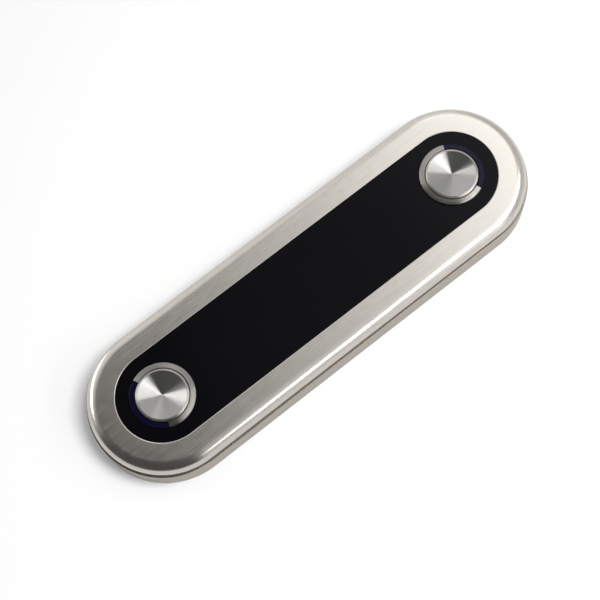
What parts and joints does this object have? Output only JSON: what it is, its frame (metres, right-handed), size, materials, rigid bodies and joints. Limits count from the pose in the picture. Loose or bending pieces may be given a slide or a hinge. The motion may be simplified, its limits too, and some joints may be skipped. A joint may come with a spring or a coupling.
{
  "type": "lift call button panel",
  "caption": "Round-ended stainless lift call panel with a black window and sprung steel push buttons in lit rings, on a shallow wall box.",
  "frame": {"origin": "centre of the back face, where the box lies on the wall", "axes": "+X to the right seen from the front, +Y up the wall towards the upper button, +Z out of the wall"},
  "size_m": [0.0854, 0.2854, 0.026],
  "materials": {
    "brushed_stainless": "satin, brushed along the panel",
    "turned_stainless": "turned, fine rings about the button's axis",
    "black_acrylic": "gloss",
    "blue_lens": "gloss, translucent",
    "black_rubber": "matt",
    "black_plastic": "moulded",
    "white_plastic": "moulded",
    "zinc_steel": "zinc plated",
    "brass": "nickel-free, bare",
    "board_laminate": "green lacquer"
  },
  "bodies": {
    "panel": {"front_cover": "brushed_stainless", "window": "black_acrylic", "window_tape": "black_rubber", "back_box": "brushed_stainless", "cover_gasket": "black_rubber", "cable_bush": "black_plastic", "circuit_board": "board_laminate", "standoffs": "brass", "board_screws": "zinc_steel", "fixing_blocks": "zinc_steel", "set_screws": "zinc_steel", "controller_chip": "black_plastic", "capacitors": "zinc_steel", "bus_connector": "white_plastic", "connector_pins": "brass", "up_spring": "zinc_steel", "up_ring": "brushed_stainless", "up_light_guide": "blue_lens", "up_housing": "black_plastic", "up_washer": "black_rubber", "up_nut": "zinc_steel", "up_switch": "black_plastic", "up_leds": "white_plastic", "down_spring": "zinc_steel", "down_ring": "brushed_stainless", "down_light_guide": "blue_lens", "down_housing": "black_plastic", "down_washer": "black_rubber", "down_nut": "zinc_steel", "down_switch": "black_plastic", "down_leds": "white_plastic"},
    "up_button": {"up_cap": "turned_stainless", "up_plunger": "white_plastic", "up_retaining_ring": "zinc_steel", "up_switch_stem": "white_plastic"},
    "down_button": {"down_cap": "turned_stainless", "down_plunger": "white_plastic", "down_retaining_ring": "zinc_steel", "down_switch_stem": "white_plastic"}
  },
  "joints": [
    {"name": "up_press", "type": "slide", "parent": "panel", "child": "up_button", "axis": [0, 0, -1], "range_m": [0, 0.0015], "stiffness_N_per_m": 800, "springref_m": -0.002, "deforming": ["up_spring"]},
    {"name": "down_press", "type": "slide", "parent": "panel", "child": "down_button", "axis": [0, 0, -1], "range_m": [0, 0.0015], "stiffness_N_per_m": 800, "springref_m": -0.002, "deforming": ["down_spring"]}
  ]
}
